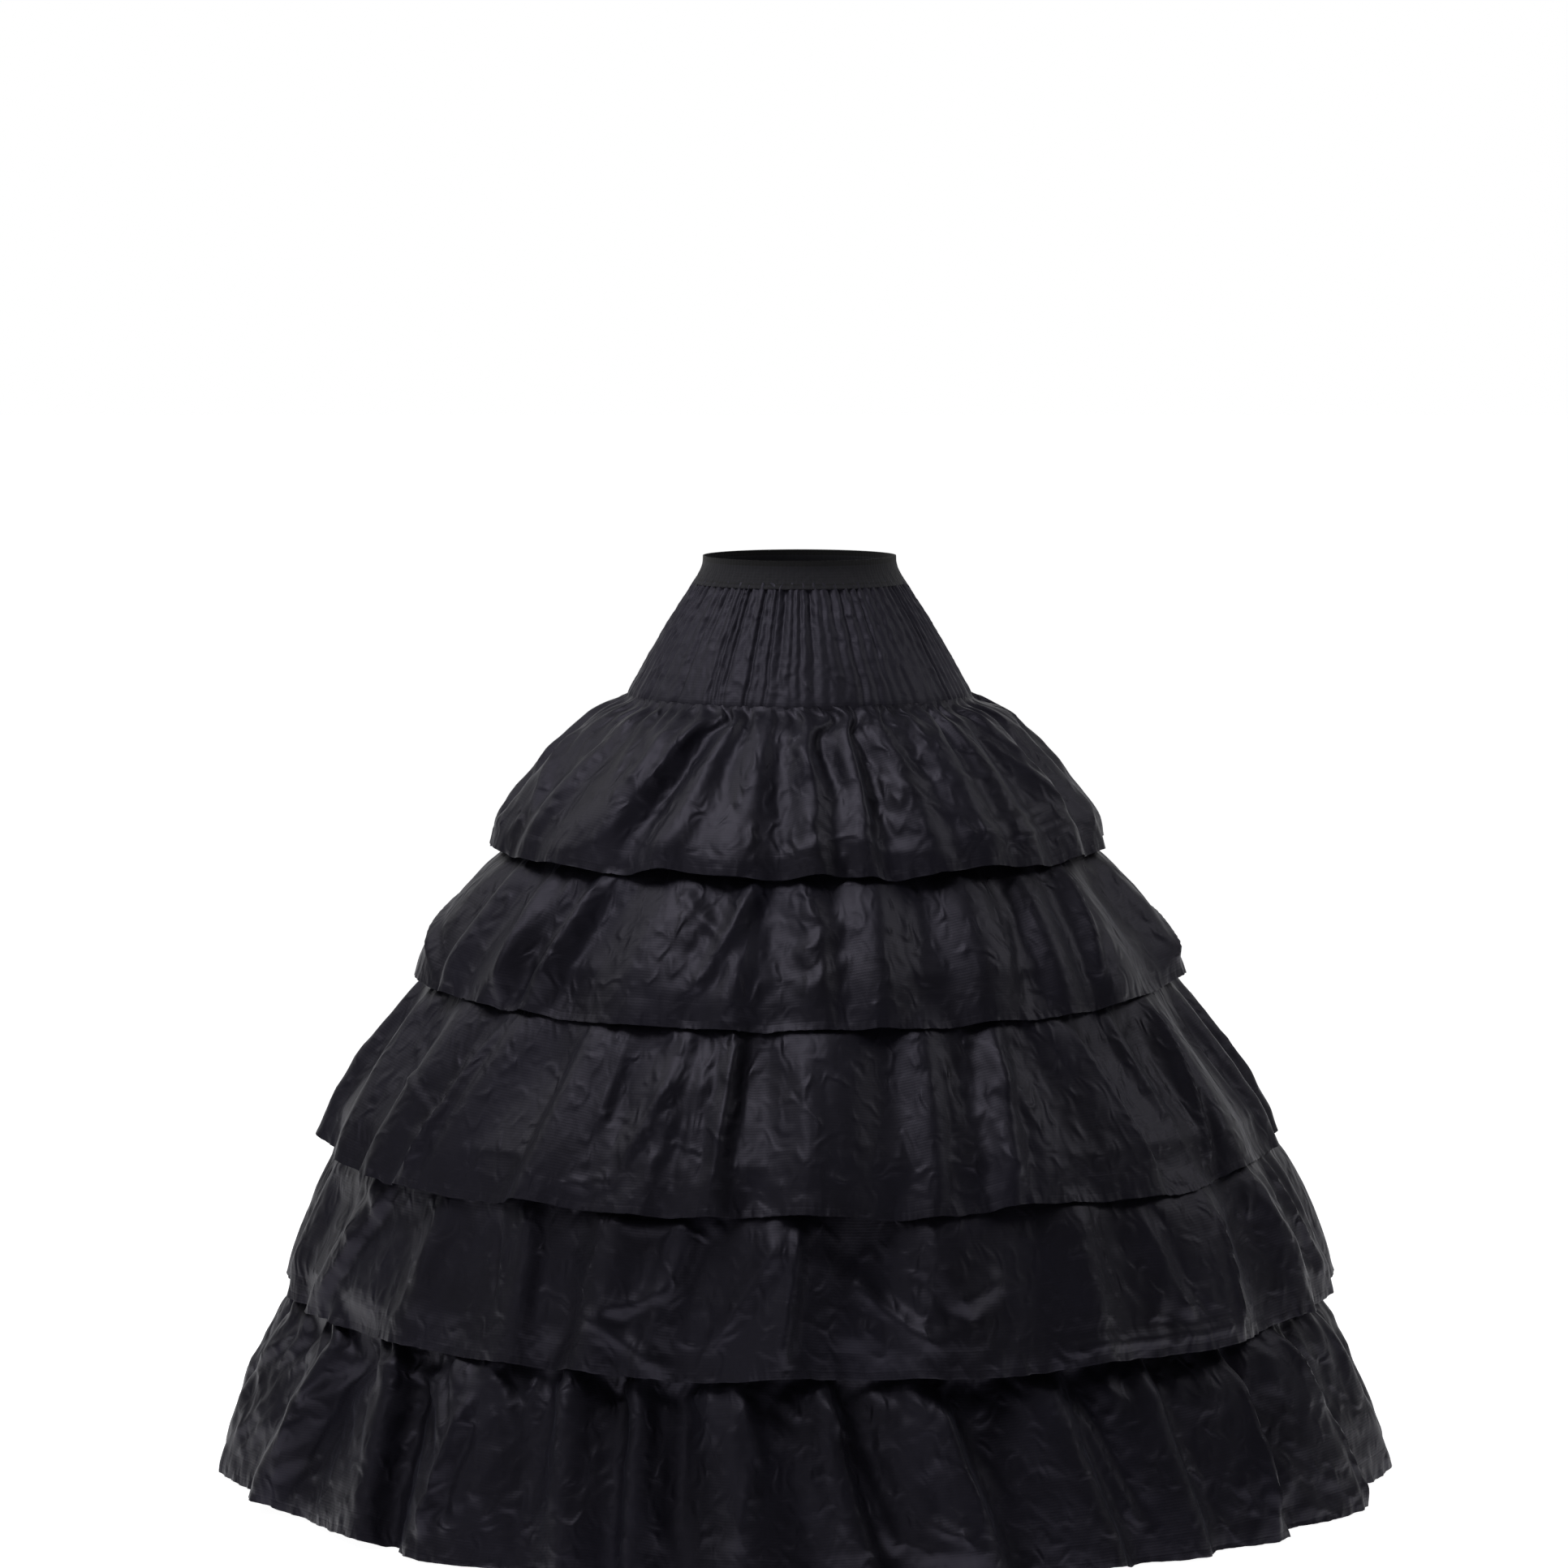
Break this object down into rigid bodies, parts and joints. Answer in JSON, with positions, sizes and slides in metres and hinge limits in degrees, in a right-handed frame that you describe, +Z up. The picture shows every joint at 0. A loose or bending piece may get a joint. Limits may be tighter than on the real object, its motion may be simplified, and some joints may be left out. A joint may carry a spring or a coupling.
{
  "type": "hoop petticoat",
  "caption": "Floor-length hoop petticoat: an elastic waistband, a gathered yoke and tiers of gathered taffeta flounces over a cage of steel hoops that holds the skirt out.",
  "frame": {"origin": "centre of the hem, on the floor", "axes": "+Z up through the waist, -Y to the front, where the wearer faces"},
  "size_m": [1.3434, 1.3442, 1.042],
  "materials": {
    "woven_elastic": "matte woven elastic",
    "taffeta": "crisp taffeta with a soft sheen",
    "lining": "plain weave, matte",
    "casing_tape": "woven tape, matte",
    "hoop_coat": "white plastic coat over flat spring steel",
    "ferrule_steel": "pressed steel"
  },
  "bodies": {
    "root": {"waistband": "woven_elastic", "yoke": "taffeta", "flounce_1": "taffeta", "flounce_2": "taffeta", "flounce_3": "taffeta", "flounce_4": "taffeta", "flounce_5": "taffeta", "body_panel_1": "lining", "body_panel_2": "lining", "body_panel_3": "lining", "body_panel_4": "lining", "hoop_casing_1": "casing_tape", "hoop_casing_2": "casing_tape", "hoop_casing_3": "casing_tape", "hoop_casing_4": "casing_tape", "hoop_1": "hoop_coat", "hoop_2": "hoop_coat", "hoop_3": "hoop_coat", "hoop_4": "hoop_coat", "hoop_ferrule_1": "ferrule_steel", "hoop_ferrule_2": "ferrule_steel", "hoop_ferrule_3": "ferrule_steel", "hoop_ferrule_4": "ferrule_steel"}
  },
  "joints": []
}
